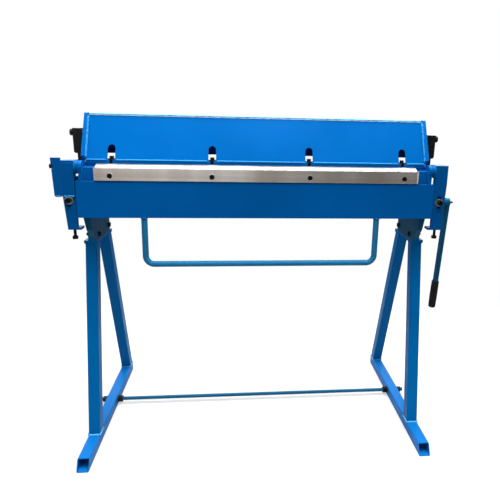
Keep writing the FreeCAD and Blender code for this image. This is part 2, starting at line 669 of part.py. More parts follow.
def make_tie_rod():
    """The threaded-end rod between the foot rails, with nuts on both sides of each rail."""
    node("tie_rod", cylinder("rod", -D.rod_half, D.rod_y, D.tube / 2, D.rod_wide,
                             D.rod_half * 2, TURN_TO_X))
    nuts, washers = [], []
    for side in (-1, 1):
        for inner, is_outer in ((D.tube_inner, False), (D.tube_inner + D.tube, True)):
            washer_in = inner if is_outer else inner - D.rod_washer
            nut_in = inner + D.rod_washer if is_outer else inner - D.rod_washer - D.rod_nut
            ring = cylinder("rod_ring", side_x(side, washer_in, D.rod_washer), D.rod_y,
                            D.tube / 2, 28, D.rod_washer, TURN_TO_X)
            nut = hexagon("rod_nut", side_x(side, nut_in, D.rod_nut), D.rod_y, D.tube / 2, 22,
                          D.rod_nut, TURN_TO_X)
            for blank, keep, far in ((ring, washers, D.rod_washer), (nut, nuts, D.rod_nut)):
                start = side_x(side, (washer_in if keep is washers else nut_in) - 2, far + 4)
                eye = cylinder("rod_eye", start, D.rod_y, D.tube / 2, D.rod_wide, far + 4,
                               TURN_TO_X)
                keep.append(cut("rod_piece", blank, [eye]))
    node("tie_rod_nuts", group("rod_nuts", nuts))
    node("tie_rod_washers", group("rod_washers", washers))


def make_stand_bolts():
    """Bolts along X through bracket and head block, their nuts outside."""
    bolts, nuts, bed_bolts = [], [], []
    for side in (-1, 1):
        inner = D.funnel_inner
        long = D.funnel_sheet + D.block_wide
        for y, z in STAND_BOLTS:
            head = hexagon("stand_head_hex", side_x(side, inner - 7, 7), y, z, 17, 7, TURN_TO_X)
            shank = cylinder("stand_shank", side_x(side, inner, long + 12), y, z, 10, long + 12,
                             TURN_TO_X)
            bolts.append(fuse("stand_bolt", [head, shank]))
            nut = hexagon("stand_nut_hex", side_x(side, inner + long, 8), y, z, 17, 8, TURN_TO_X)
            eye = cylinder("stand_nut_eye", side_x(side, inner + long - 2, 12), y, z, 10, 12,
                           TURN_TO_X)
            nuts.append(cut("stand_nut", nut, [eye]))
        for y, z in BED_BOLTS:
            outside = D.funnel_inner + D.funnel_sheet
            head = hexagon("bed_head", side_x(side, outside, 7), y, z, 17, 7, TURN_TO_X)
            long = D.funnel_sheet + D.end_thick
            shank = cylinder("bed_shank", side_x(side, outside - long, long), y, z, 10, long,
                             TURN_TO_X)
            bed_bolts.append(fuse("bed_bolt", [head, shank]))
    node("stand_bolts", group("stand_bolt_group", bolts))
    node("stand_nuts", group("stand_nut_group", nuts))
    node("bed_bolts", group("bed_bolt_group", bed_bolts))


# ---------------------------------------------------------------- the apron

def bar_screw_places():
    return [D.bar_pitch * step for step in (-1.5, -0.5, 0.5, 1.5)]


def make_apron():
    """Back plate, folded front channel, hinge lugs and the ground bending bar."""
    low = D.apron_low
    back_y = D.bend_y - D.apron_back
    plate = body("apron", -D.apron_half, back_y, low)
    wide = D.apron_half * 2
    ledge = D.apron_half - D.lug_inner
    step, high = D.apron_step - low, D.bend_z - low
    shape = [(0, 0), (wide, 0), (wide, step), (wide - ledge, step), (wide - ledge, high),
             (ledge, high), (ledge, step), (0, step)]
    pad(plate, outline(plate, "XZ_Plane", shape), D.apron_back, backwards=True)
    centres = [(D.apron_half + x, D.bend_z - D.bar_height * 0.63 - low) for x in bar_screw_places()]
    pocket(plate, circles(plate, "XZ_Plane", centres, 8), D.apron_back + 1)
    node("apron_plate", plate)

    front = body("front_channel", -D.apron_half, D.apron_front, low)
    deep, wall = back_y - D.apron_front, D.apron_sheet
    profile = [(0, 0), (deep, 0), (deep, wall), (wall, wall), (wall, step - wall),
               (deep, step - wall), (deep, step), (0, step)]
    pad(front, outline(front, "YZ_Plane", profile), wide)
    node("apron_channel", front)

    for side in (-1, 1):
        low_x = side_x(side, D.lug_inner, D.lug_thick)
        eye = cylinder("eye", low_x, D.bend_y, D.bend_z, D.hub_radius * 2, D.lug_thick, TURN_TO_X)
        neck = box("neck", low_x, D.apron_front, D.apron_step, D.lug_thick,
                   D.bend_y - D.apron_front, D.bend_z - D.apron_step)
        bore = cylinder("lug_bore", side_x(side, D.lug_inner + D.lug_web, D.lug_thick), D.bend_y,
                        D.bend_z, D.hinge_pin + D.bush_wall * 2, D.lug_thick, TURN_TO_X)
        node(side_name("apron_lug", side), cut("lug", fuse("lug_whole", [eye, neck]), [bore]))


def make_hinge_bushes():
    """Plain bearings in the apron's lugs, running on the hinge pins."""
    bushes = []
    long = D.lug_thick - D.lug_web
    for side in (-1, 1):
        low_x = side_x(side, D.lug_inner + D.lug_web, long)
        sleeve = cylinder("hinge_sleeve", low_x, D.bend_y, D.bend_z,
                          D.hinge_pin + D.bush_wall * 2, long, TURN_TO_X)
        hole = cylinder("hinge_hole", low_x - 5, D.bend_y, D.bend_z,
                        D.hinge_pin + D.running * 2, long + 10, TURN_TO_X)
        bushes.append(cut("hinge_bush", sleeve, [hole]))
    node("hinge_bushes", group("hinge_bush_group", bushes))


def make_bending_bar():
    """Ground steel bar with four counterbored socket screws."""
    bar = body("bar", -D.bar_length / 2, 0, D.bend_z - D.bar_height)
    along, across = 7, 4
    long, thick = D.bar_length, D.bar_thick
    plan = [(along, 0), (long - along, 0), (long, across), (long, thick), (0, thick), (0, across)]
    pad(bar, outline(bar, "XY_Plane", plan), D.bar_height)
    level = D.bar_height * 0.37
    centres = [(D.bar_length / 2 + x, level) for x in bar_screw_places()]
    pocket(bar, circles(bar, "XZ_Plane", centres, 8), D.bar_thick + 1)
    pocket(bar, circles(bar, "XZ_Plane", centres, 17), as_size(8.5))
    node("bending_bar", bar)

    screws = []
    z = D.bend_z - D.bar_height * 0.63
    for x in bar_screw_places():
        head = cylinder("bar_head", x, 1, z, 15.6, 7.5, TURN_TO_Y)
        socket = hexagon("bar_socket", x, -1, z, 8, 6.5, TURN_TO_Y)
        shank = cylinder("bar_shank", x, 8.5, z, 8, D.bend_y - 8.5, TURN_TO_Y)
        screws.append(fuse("bar_screw", [cut("bar_top", head, [socket]), shank]))
    node("bending_bar_screws", group("bar_screws", screws))


def make_u_handle():
    """Bent tube below the apron, swept along straight runs and two tangent arcs."""
    handle = body("handle", -D.handle_left, D.handle_y, D.handle_low)
    wide, bend = D.handle_wide, D.handle_bend
    high = D.apron_low - D.handle_low
    spine = sketch_on(handle, "XZ_Plane")
    w, r, h = wide.value, bend.value, high.value
    up = FreeCAD.Vector(0, 0, 1)
    spine.addGeometry(Part.LineSegment(FreeCAD.Vector(0, h, 0), FreeCAD.Vector(0, r, 0)))
    left = Part.Circle(FreeCAD.Vector(r, r, 0), up, r)
    spine.addGeometry(Part.ArcOfCircle(left, 3.14159265, 4.71238898))
    spine.addGeometry(Part.LineSegment(FreeCAD.Vector(r, 0, 0), FreeCAD.Vector(w - r, 0, 0)))
    right = Part.Circle(FreeCAD.Vector(w - r, r, 0), up, r)
    spine.addGeometry(Part.ArcOfCircle(right, 4.71238898, 6.2831853))
    spine.addGeometry(Part.LineSegment(FreeCAD.Vector(w, r, 0), FreeCAD.Vector(w, h, 0)))
    for item, end, after, start in ((0, 2, 1, 1), (1, 2, 2, 1), (2, 2, 3, 1), (3, 2, 4, 1)):
        spine.addConstraint(Sketcher.Constraint("Tangent", item, end, after, start))
    fix_point(spine, 0, 1, 0, high)
    fix_point(spine, 1, 3, bend, bend)
    fix_point(spine, 3, 3, wide - bend, bend)
    fix_point(spine, 4, 2, wide, high)

    ring = sketch_on(handle, "XY_Plane", high)
    for item, diameter in enumerate((D.handle_tube, D.handle_tube - D.handle_wall * 2)):
        circle = Part.Circle(FreeCAD.Vector(0, 0, 0), up, diameter.value / 2)
        ring.addGeometry(circle)
        ring.addConstraint(Sketcher.Constraint("Coincident", item, 3, -1, 1))
        index = ring.addConstraint(Sketcher.Constraint("Diameter", item, diameter.value))
        bind(ring, f"Constraints[{index}]", diameter)
    doc.recompute()
    pipe = handle.newObject("PartDesign::AdditivePipe", "handle_pipe")
    pipe.Profile = ring
    pipe.Spine = spine
    node("u_handle", handle)


# ---------------------------------------------------------------- the clamping beam

def slot_places():
    return [D.slot_pitch * step for step in (-1.5, -0.5, 0.5, 1.5)]


def make_beam():
    """Bent plate over a flat base bar, closed by end plates, with the nose bar below."""
    half = D.beam_half - D.end_thick
    base_low = D.bend_z + D.nose_thick
    base_top = base_low + D.base_thick
    wall = D.beam_plate
    shift = wall * 1.103
    roof = body("roof", -half, 0, base_top)
    rise = D.ridge_z - base_top
    rear = D.beam_gap - base_top
    fall = wall * 2.35
    skin = [(D.beam_front, 0), (D.beam_front + shift, 0), (D.ridge_y, rise - fall),
            (D.beam_back - shift, rear), (D.beam_back, rear), (D.ridge_y, rise)]
    pad(roof, outline(roof, "YZ_Plane", skin), half * 2)
    round_edges(roof, 7, lambda e: lies_along(e, 0) and e.CenterOfMass.z > rise.value - 2)
    doc.recompute()
    tall = D.slot_top - base_top
    radius = D.slot_wide / 2
    for x in slot_places():
        sketch = sketch_on(roof, "XZ_Plane")
        centre = half + x
        left, right = (centre - radius).value, (centre + radius).value
        level = (tall - radius).value
        corners = [(left, level), (left, -5), (right, -5), (right, level)]
        for (a, b), (c, d) in zip(corners, corners[1:]):
            sketch.addGeometry(Part.LineSegment(FreeCAD.Vector(a, b, 0), FreeCAD.Vector(c, d, 0)))
        arch = Part.Circle(FreeCAD.Vector(centre.value, level, 0), FreeCAD.Vector(0, 0, 1),
                           radius.value)
        sketch.addGeometry(Part.ArcOfCircle(arch, 0, 3.14159265))
        for item, after in ((0, 1), (1, 2)):
            sketch.addConstraint(Sketcher.Constraint("Coincident", item, 2, after, 1))
        for item, after in ((2, 3), (3, 0)):
            sketch.addConstraint(Sketcher.Constraint("Tangent", item, 2, after, 1))
        sketch.addConstraint(Sketcher.Constraint("Horizontal", 1))
        index = sketch.addConstraint(Sketcher.Constraint("Radius", 3, radius.value))
        bind(sketch, f"Constraints[{index}]", radius)
        fix_point(sketch, 3, 3, centre, tall - radius)
        fix_point(sketch, 0, 2, centre - radius, as_size(-5))
        pocket(roof, sketch, as_size(100))
    node("beam_bent_plate", roof)

    bar = box("base", -half, D.beam_front, base_low, half * 2, D.base_back - D.beam_front,
              D.base_thick)
    notches = []
    for x in slot_places():
        wide = D.nose_shank + 2
        notches.append(box("notch", x - wide / 2, D.beam_front - 1, base_low - 1, wide,
                           D.nose_screw_y - D.beam_front + 1, D.base_thick + 2))
        notches.append(cylinder("notch_end", x, D.nose_screw_y, base_low - 1, wide,
                                D.base_thick + 2))
    node("beam_base_bar", cut("base_cut", bar, notches))

    pads = []
    for side in (-1, 1):
        inner = D.bar_length / 2 + 1
        wide = D.beam_half - 1 - inner
        pads.append(box("end_pad", side_x(side, inner, wide), D.beam_front + 2, D.bend_z + 0.4,
                        wide, 52, D.nose_thick - 0.4))
    node("beam_end_pads", group("end_pad_group", pads))

    for side in (-1, 1):
        plate = body("end_plate", side_x(side, half, D.end_thick), 0, base_low)
        up = D.cheek_top - base_low
        shape = [(D.beam_front - 4, 24), (D.beam_front + 6, 14), (D.beam_front + 6, 2),
                 (D.base_back + 50, 2), (D.beam_back + 10, 22), (D.ridge_y + 6, up),
                 (D.ridge_y - 6, up)]
        pad(plate, outline(plate, "YZ_Plane", shape), D.end_thick)
        round_edges(plate, 5, lambda e: lies_along(e, 0) and e.CenterOfMass.z > up.value - 2)
        hole = circles(plate, "YZ_Plane", [(D.ridge_y, D.arm_bolt_z - base_low)], 12)
        pocket(plate, hole, D.end_thick + 1, backwards=True)
        node(side_name("beam_end_plate", side), plate)


def make_nose():
    """The bevelled nose bar, held from above by four screws in open slots."""
    nose = body("nose", -D.bar_length / 2, 0, D.bend_z)
    thick = D.nose_thick
    profile = [(D.nose_tip, 0), (D.nose_back, 0), (D.nose_back, thick), (D.beam_front + 0.5, thick),
               (D.nose_tip, 0.5)]
    pad(nose, outline(nose, "YZ_Plane", profile), D.bar_length)
    centres = [(D.bar_length / 2 + x, D.nose_screw_y) for x in slot_places()]
    pocket(nose, circles(nose, "XY_Plane", centres, D.nose_shank), thick + 1, backwards=True)
    node("nose_bar", nose)

    top = D.bend_z + D.nose_thick + D.base_thick
    screws, washers = [], []
    for x in slot_places():
        ring = cylinder("nose_ring", x, D.nose_screw_y, top, 24, 2.5)
        eye = cylinder("nose_eye", x, D.nose_screw_y, top - 1, D.nose_shank, 5)
        washers.append(cut("nose_washer", ring, [eye]))
        head = cylinder("nose_head", x, D.nose_screw_y, top + 2.5, 14, 9)
        socket = hexagon("nose_socket", x, D.nose_screw_y, top + 7, 7, 6)
        shank = cylinder("nose_thread", x, D.nose_screw_y, D.bend_z + 1, D.nose_shank,
                         top + 1.5 - D.bend_z)
        screws.append(fuse("nose_screw", [cut("nose_top", head, [socket]), shank]))
    node("nose_screws", group("nose_screw_group", screws))
    node("nose_washers", group("nose_washer_group", washers))


def make_lifting_arms():
    """Head bolted to the beam's end, and a flat tongue with the crank pin's slot."""
    bolts, spacers = [], []
    pin_y = D.shaft_y - D.crank_reach
    slot_half = D.crank_pin / 2 + D.crank_slack
    for side in (-1, 1):
        wide = D.arm_outer - D.arm_inner
        low_x = side_x(side, D.arm_inner, wide)
        arm = body("arm", low_x, D.arm_front, D.arm_low)

        def across(x):
            """Distance from the low-X side of the arm, mirrored on the left."""
            return x - D.arm_inner if side > 0 else D.arm_outer - x

        head, top = D.arm_head - D.arm_low, D.arm_top - D.arm_low
        tongue_out = D.tongue_inner + D.tongue_thick
        shape = [(D.tongue_inner, 0), (tongue_out, 0), (tongue_out, head), (D.arm_outer - 6, head),
                 (D.arm_outer - 1, head + 5), (D.arm_outer, top), (D.arm_inner, top),
                 (D.arm_inner + 5, head + 2), (D.tongue_inner, head)]
        points = [(across(x), z) for x, z in shape]
        points = [(0 if abs(as_size(u).value) < 1e-9 else u, v) for u, v in points]
        pad(arm, outline(arm, "XZ_Plane", points), D.arm_deep, backwards=True)
        start = D.shaft_y - D.crank_radius - D.crank_pin / 2 - 1.3 - D.arm_front
        finish = pin_y + D.crank_pin / 2 + 1.5 - D.arm_front
        level = D.shaft_z - D.crank_drop - D.arm_low
        window = [(start, level - slot_half), (finish, level - slot_half),
                  (finish, level + slot_half), (start, level + slot_half)]
        pocket(arm, outline(arm, "YZ_Plane", window), wide + 1, backwards=True)
        hole = circles(arm, "YZ_Plane", [(D.ridge_y - D.arm_front, D.arm_bolt_z - D.arm_low)], 12)
        pocket(arm, hole, wide + 1, backwards=True)
        node(side_name("lifting_arm", side), arm)

        gap = D.arm_inner - D.beam_half
        ring = cylinder("arm_ring", side_x(side, D.beam_half, gap), D.ridge_y, D.arm_bolt_z, 26,
                        gap, TURN_TO_X)
        eye = cylinder("arm_eye", side_x(side, D.beam_half - 2, gap + 4), D.ridge_y,
                       D.arm_bolt_z, 12, gap + 4, TURN_TO_X)
        spacers.append(cut("arm_spacer", ring, [eye]))
        inside = D.beam_half - D.end_thick
        shank = cylinder("arm_shank", side_x(side, inside, D.arm_outer - inside), D.ridge_y,
                         D.arm_bolt_z, 12, D.arm_outer - inside, TURN_TO_X)
        washer = cylinder("arm_flange", side_x(side, D.arm_outer, 2.5), D.ridge_y, D.arm_bolt_z,
                          24, 2.5, TURN_TO_X)
        hex_head = hexagon("arm_hex", side_x(side, D.arm_outer + 2.5, 9), D.ridge_y,
                           D.arm_bolt_z, 19, 9, TURN_TO_X)
        bolts.append(fuse("arm_bolt", [shank, washer, hex_head]))
    node("arm_bolts", group("arm_bolt_group", bolts))
    node("arm_spacers", group("arm_spacer_group", spacers))


# ---------------------------------------------------------------- the clamp shaft

def make_clamp_shaft():
    """Shaft through the bed with a crank at each arm and the lever on the right."""
    left = -(D.crank_inner + D.crank_thick)
    right = D.lever_inner + D.lever_thick
    node("clamp_shaft", cylinder("shaft", left, D.shaft_y, D.shaft_z, D.shaft_wide,
                                 right - left, TURN_TO_X))

    for side in (-1, 1):
        low_x = side_x(side, D.crank_inner, D.crank_thick)
        pin_y = D.shaft_y - D.crank_reach
        pin_z = D.shaft_z - D.crank_drop
        web = body("web", low_x, pin_y - 20, pin_z - 20)
        u, v = D.crank_reach + 20, D.crank_drop + 20
        cheek = [(as_size(14), as_size(27.8)), (as_size(26), as_size(12.2)),
                 (u + 10, v - 12.5), (u - 10, v + 12.5)]
        pad(web, outline(web, "YZ_Plane", cheek), D.crank_thick)
        hub = cylinder("crank_hub", low_x, D.shaft_y, D.shaft_z, 32, D.crank_thick, TURN_TO_X)
        nose = cylinder("crank_nose", low_x, pin_y, pin_z, 20, D.crank_thick, TURN_TO_X)
        bore = cylinder("crank_bore", low_x - 5, D.shaft_y, D.shaft_z, D.shaft_wide,
                        D.crank_thick + 10, TURN_TO_X)
        whole = cut("crank_web", fuse("crank_whole", [web, hub, nose]), [bore])
        reach = D.tongue_inner + D.tongue_thick + 4 - D.crank_inner - D.crank_thick
        pin = cylinder("crank_pin_blank", side_x(side, D.crank_inner + D.crank_thick, reach),
                       pin_y, pin_z, D.crank_pin, reach, TURN_TO_X)
        node(side_name("crank", side), fuse("crank", [whole, pin]))


def lean(thing, x, y, z):
    """Turn a lever piece about the shaft by the lever's lean, then place it."""
    turn = FreeCAD.Rotation(FreeCAD.Vector(1, 0, 0), D.lever_lean.value)
    place(thing, as_size(x), as_size(y), as_size(z), turn)


def make_lever():
    """Flat lever with a round eye and a hub, its moulded grip and the screw that holds it."""
    lever = body("lever", 0, 0, 0)
    lean(lever, D.lever_inner, D.shaft_y, D.shaft_z)
    half = D.lever_wide / 2
    strip = [(-half, 0), (-half, -D.lever_long), (half, -D.lever_long), (half, 0)]
    pad(lever, outline(lever, "YZ_Plane", strip), D.lever_thick)
    pad(lever, circles(lever, "YZ_Plane", [(0, 0)], D.lever_wide + 7), D.lever_thick)
    pocket(lever, circles(lever, "YZ_Plane", [(0, 0)], D.shaft_wide), D.lever_thick + 1,
           backwards=True)
    node("clamp_lever", lever)

    long = D.lever_inner - D.hub_inner
    sleeve = cylinder("hub_sleeve", D.hub_inner, D.shaft_y, D.shaft_z, D.hub_wide, long, TURN_TO_X)
    bore = cylinder("hub_bore", D.hub_inner - 5, D.shaft_y, D.shaft_z, D.shaft_wide, long + 10,
                    TURN_TO_X)
    node("lever_hub", cut("hub", sleeve, [bore]))

    grip = body("grip", 0, 0, 0)
    lean(grip, D.lever_inner + D.lever_thick / 2, D.shaft_y, D.shaft_z)
    radius = D.grip_wide / 2
    top = -(D.lever_long - 20)
    low = top - D.grip_long
    sketch = outline(grip, "YZ_Plane", [(0, low), (radius - 4, low), (radius, low + 5),
                                        (radius, top - 6), (radius - 0.7, top), (0, top)])
    turn = grip.newObject("PartDesign::Revolution", "grip_turn")
    turn.Profile = sketch
    turn.ReferenceAxis = (sketch, ["V_Axis"])
    turn.Angle = 360
    hollow = outline(grip, "XY_Plane", [(-D.lever_thick / 2, -half), (D.lever_thick / 2, -half),
                                        (D.lever_thick / 2, half), (-D.lever_thick / 2, half)],
                     -D.lever_long)
    pocket(grip, hollow, as_size(25), backwards=True)
    node("lever_grip", grip)

    out = D.lever_inner + D.lever_thick
    head = cylinder("lever_screw_head", out, D.shaft_y, D.shaft_z, 7, 14, TURN_TO_X)
    ring = cylinder("lever_screw_washer", out, D.shaft_y, D.shaft_z, 14, 2, TURN_TO_X)
    node("lever_retaining_screw", fuse("lever_screw", [head, ring]))


# ---------------------------------------------------------------- build and write

def check_all():
    """Stop if any object failed or any sub-part has no valid shape."""
    doc.recompute()
    for thing in doc.Objects:
        if "Invalid" in thing.State or "Error" in thing.State:
            raise RuntimeError(f"{thing.Label}: {thing.State}")
    for name, thing in NODES.items():
        if thing.Shape.isNull() or not thing.Shape.isValid():
            raise RuntimeError(f"{name}: no valid shape")


def write_parts():
    os.makedirs("parts", exist_ok=True)
    for name, thing in NODES.items():
        thing.Shape.exportStep(f"parts/{name}.step")


def build():
    make_bed()
    make_shaft_bushes()
    make_lever_bearing()
    make_arm_guides()
    make_hinge_brackets()
    make_bracket_hardware()
    make_stop_housing()
    make_stand_brackets()
    make_stand_heads()
    for side in (-1, 1):
        make_leg("front_leg", side, D.front_leg_top, D.front_leg_low, D.front_leg_deep)
        make_leg("rear_leg", side, D.rear_leg_top, D.rear_leg_low, D.rear_leg_deep)
    make_foot_rails()
    make_tie_rod()
    make_stand_bolts()
    make_apron()
    make_hinge_bushes()
    make_bending_bar()
    make_u_handle()
    make_beam()
    make_nose()
    make_lifting_arms()
    make_clamp_shaft()
    make_lever()
    check_all()
    write_parts()


build()
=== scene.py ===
import json
import math

import bpy
from mathutils import Matrix, Vector


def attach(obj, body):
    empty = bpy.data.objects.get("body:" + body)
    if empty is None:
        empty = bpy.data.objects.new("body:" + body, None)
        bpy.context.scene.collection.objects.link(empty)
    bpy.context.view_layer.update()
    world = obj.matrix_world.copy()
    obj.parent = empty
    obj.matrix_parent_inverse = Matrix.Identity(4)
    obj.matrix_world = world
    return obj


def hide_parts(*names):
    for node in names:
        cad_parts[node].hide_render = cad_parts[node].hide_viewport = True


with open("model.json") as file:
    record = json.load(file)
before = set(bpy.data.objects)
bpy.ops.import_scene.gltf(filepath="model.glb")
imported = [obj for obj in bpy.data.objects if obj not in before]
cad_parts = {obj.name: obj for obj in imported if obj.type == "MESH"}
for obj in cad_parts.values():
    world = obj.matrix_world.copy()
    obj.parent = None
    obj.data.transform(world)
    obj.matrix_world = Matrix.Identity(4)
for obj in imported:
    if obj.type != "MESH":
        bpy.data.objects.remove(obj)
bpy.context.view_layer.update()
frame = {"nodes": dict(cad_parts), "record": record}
NODES = frame["nodes"]

MIDDLE = Vector((0.029, 0.203, 0.0))
X_AXIS = Vector((1, 0, 0))
Y_AXIS = Vector((0, 1, 0))
Z_AXIS = Vector((0, 0, 1))


def at(x, y, z):
    """A point of the workshop drawing, in millimetres, as a place in the frame."""
    return Vector((x, y, z)) / 1000 - MIDDLE


# ---------------------------------------------------------------- materials

def linear(r, g, b):
    """sRGB values from 0 to 255 as linear colour with alpha."""
    def one(v):
        v = v / 255
        return v / 12.92 if v <= 0.04045 else ((v + 0.055) / 1.055) ** 2.4
    return (one(r), one(g), one(b), 1.0)


class Graph:
    """Short way to write a node tree."""

    def __init__(self, name):
        self.material = bpy.data.materials.new(name)
        self.material.use_nodes = True
        self.tree = self.material.node_tree
        self.shader = self.tree.nodes["Principled BSDF"]
        self.coords = self.add("ShaderNodeTexCoord").outputs["Object"]

    def add(self, kind, **settings):
        item = self.tree.nodes.new(kind)
        for key, value in settings.items():
            setattr(item, key, value)
        return item

    def join(self, source, target):
        self.tree.links.new(source, target)

    def feed(self, socket, value):
        if isinstance(value, bpy.types.NodeSocket):
            self.join(value, socket)
        else:
            socket.default_value = value

    def stretched(self, scale):
        mapping = self.add("ShaderNodeMapping")
        self.join(self.coords, mapping.inputs["Vector"])
        mapping.inputs["Scale"].default_value = scale
        return mapping.outputs["Vector"]

    def noise(self, scale, detail=3.0, rough=0.5, vector=None):
        item = self.add("ShaderNodeTexNoise")
        self.join(vector or self.coords, item.inputs["Vector"])
        item.inputs["Scale"].default_value = scale
        item.inputs["Detail"].default_value = detail
        item.inputs["Roughness"].default_value = rough
        return item.outputs["Fac"]

    def fit(self, value, low, high, out_low, out_high):
        item = self.add("ShaderNodeMapRange")
        self.join(value, item.inputs["Value"])
        for key, number in (("From Min", low), ("From Max", high), ("To Min", out_low),
                            ("To Max", out_high)):
            item.inputs[key].default_value = number
        return item.outputs["Result"]

    def math(self, operation, a, b=0.0):
        item = self.add("ShaderNodeMath", operation=operation)
        self.feed(item.inputs[0], a)
        self.feed(item.inputs[1], b)
        return item.outputs[0]

    def blend(self, factor, a, b, mode="MIX"):
        item = self.add("ShaderNodeMix", data_type="RGBA", blend_type=mode)
        self.feed(item.inputs["Factor"], factor)
        self.feed(item.inputs["A"], a)
        self.feed(item.inputs["B"], b)
        return item.outputs["Result"]

    def bump(self, height, strength, distance, normal=None):
        item = self.add("ShaderNodeBump")
        item.inputs["Strength"].default_value = strength
        item.inputs["Distance"].default_value = distance
        self.join(height, item.inputs["Height"])
        if normal:
            self.join(normal, item.inputs["Normal"])
        return item.outputs["Normal"]

    def rounded(self, radius):
        item = self.add("ShaderNodeBevel", samples=4)
        item.inputs["Radius"].default_value = radius
        return item.outputs["Normal"]

    def edges(self, rounded_normal):
        """1 near sharp edges, 0 on flat faces."""
        geometry = self.add("ShaderNodeNewGeometry")
        dot = self.add("ShaderNodeVectorMath", operation="DOT_PRODUCT")
        self.join(geometry.outputs["Normal"], dot.inputs[0])
        self.join(rounded_normal, dot.inputs[1])
        return self.fit(dot.outputs["Value"], 0.99, 0.75, 0.0, 1.0)

    def upward(self):
        """1 on faces that look up, 0 on the others."""
        geometry = self.add("ShaderNodeNewGeometry")
        split = self.add("ShaderNodeSeparateXYZ")
        self.join(geometry.outputs["Normal"], split.inputs[0])
        return self.fit(split.outputs["Z"], 0.6, 0.97, 0.0, 1.0)

    def set(self, **inputs):
        for key, value in inputs.items():
            self.feed(self.shader.inputs[key.replace("_", " ")], value)
        return self.material


def paint(name, colour, edge=0.0014, edge_wear_and_highlight=0.5, gloss=0.34, top_dust_and_highlight=0.06, shine=0.08):
    """Sprayed enamel: slight colour drift, orange peel, edges lighter from wear and a painted
    highlight, up-facing faces paler from dust and a painted highlight.
    """
    g = Graph(name)
    drift = g.noise(3.0, 4.0)
    dark = tuple(c * 0.88 for c in colour[:3]) + (1.0,)
    pale = tuple(min(1.0, c * 1.10) for c in colour[:3]) + (1.0,)
    body = g.blend(g.fit(drift, 0.3, 0.7, 0.0, 1.0), dark, pale)
    round_normal = g.rounded(edge)
    rim = g.edges(round_normal)
    patchy_edge_wear_and_highlight = g.math("MULTIPLY", rim, g.fit(g.noise(55.0, 4.0), 0.3, 0.65, 0.25, 1.0))
    # Edge colour: paint worn thin, plus a painted highlight along the edges.
    light = (colour[0] * 1.5 + 0.035, colour[1] * 1.6 + 0.06, colour[2] * 1.5 + 0.08, 1.0)
    body = g.blend(g.math("MULTIPLY", patchy_edge_wear_and_highlight, edge_wear_and_highlight), body, light)
    # Painted highlight and dust: up-facing faces blend towards a pale blue-grey.
    dust_and_top_highlight = g.math("MULTIPLY", g.upward(), g.fit(g.noise(25.0, 6.0), 0.25, 0.8, top_dust_and_highlight * 0.5, top_dust_and_highlight))
    body = g.blend(dust_and_top_highlight, body, linear(120, 165, 190))
    peel = g.noise(420.0, 2.0)
    waves = g.noise(38.0, 2.0)
    normal = g.bump(peel, 0.08, 0.0004, g.bump(waves, 0.10, 0.0012, round_normal))
    rough = g.fit(g.noise(14.0, 5.0), 0.3, 0.7, gloss - 0.05, gloss + 0.10)
    return g.set(Base_Color=body, Roughness=rough, Normal=normal, Specular_IOR_Level=shine,
                 Specular_Tint=(0.05, 0.45, 1.0, 1.0), Coat_Weight=shine * 0.1, Coat_Roughness=0.15,
                 Coat_Tint=(0.3, 0.7, 1.0, 1.0))


def ground_steel(name):
    """Ground flat bar: fine marks along the bar, brown-grey streaks across and along it."""
    g = Graph(name)
    marks = g.noise(1.0, 6.0, 0.65, g.stretched((60.0, 900.0, 900.0)))
    lengths = g.noise(1.0, 3.0, 0.5, g.stretched((7.0, 1.5, 1.5)))
    layers = g.noise(1.0, 2.0, 0.5, g.stretched((1.2, 20.0, 85.0)))
    base = g.blend(g.fit(lengths, 0.32, 0.68, 0.0, 1.0), (0.56, 0.50, 0.46, 1.0),
                   (0.94, 0.92, 0.89, 1.0))
    base = g.blend(g.fit(layers, 0.4, 0.7, 0.0, 0.55), base, (0.52, 0.43, 0.35, 1.0))
    base = g.blend(g.fit(marks, 0.35, 0.75, 0.0, 0.35), base, (0.38, 0.35, 0.33, 1.0))
    round_normal = g.rounded(0.0014)
    # Painted highlight: the bar's edges blend to near white.
    base = g.blend(g.math("MULTIPLY", g.edges(round_normal), 0.9), base, (0.98, 0.98, 0.98, 1.0))
    rough = g.fit(marks, 0.3, 0.7, 0.30, 0.44)
    normal = g.bump(marks, 0.03, 0.0001, round_normal)
    return g.set(Base_Color=base, Metallic=1.0, Roughness=rough, Normal=normal)


def bare_steel(name, level=1.0):
    """Turned or stamped steel; level dims it."""
    g = Graph(name)
    marks = g.noise(260.0, 4.0)
    dim = tuple(c * level for c in (0.50, 0.49, 0.48)) + (1.0,)
    bright = tuple(c * level for c in (0.72, 0.72, 0.71)) + (1.0,)
    base = g.blend(g.fit(marks, 0.3, 0.7, 0.0, 1.0), dim, bright)
    normal = g.bump(marks, 0.08, 0.0002, g.rounded(0.0005))
    return g.set(Base_Color=base, Metallic=1.0, Roughness=g.fit(marks, 0.3, 0.7, 0.25, 0.42),
                 Normal=normal)


def black_oxide(name, tint, rough=0.42):
    """Blackened steel with a thin film of oil."""
    g = Graph(name)
    mottle = g.noise(90.0, 5.0)
    low = tuple(c * 0.6 for c in tint) + (1.0,)
    high = tuple(c * 1.7 for c in tint) + (1.0,)
    base = g.blend(g.fit(mottle, 0.3, 0.7, 0.0, 1.0), low, high)
    round_normal = g.rounded(0.0006)
    base = g.blend(g.math("MULTIPLY", g.edges(round_normal), 0.35), base, (0.08, 0.08, 0.09, 1.0))
    normal = g.bump(mottle, 0.1, 0.0003, round_normal)
    gloss = g.fit(mottle, 0.3, 0.7, rough - 0.08, rough + 0.12)
    return g.set(Base_Color=base, Metallic=0.2, Normal=normal, Specular_IOR_Level=0.2,
                 Roughness=gloss)


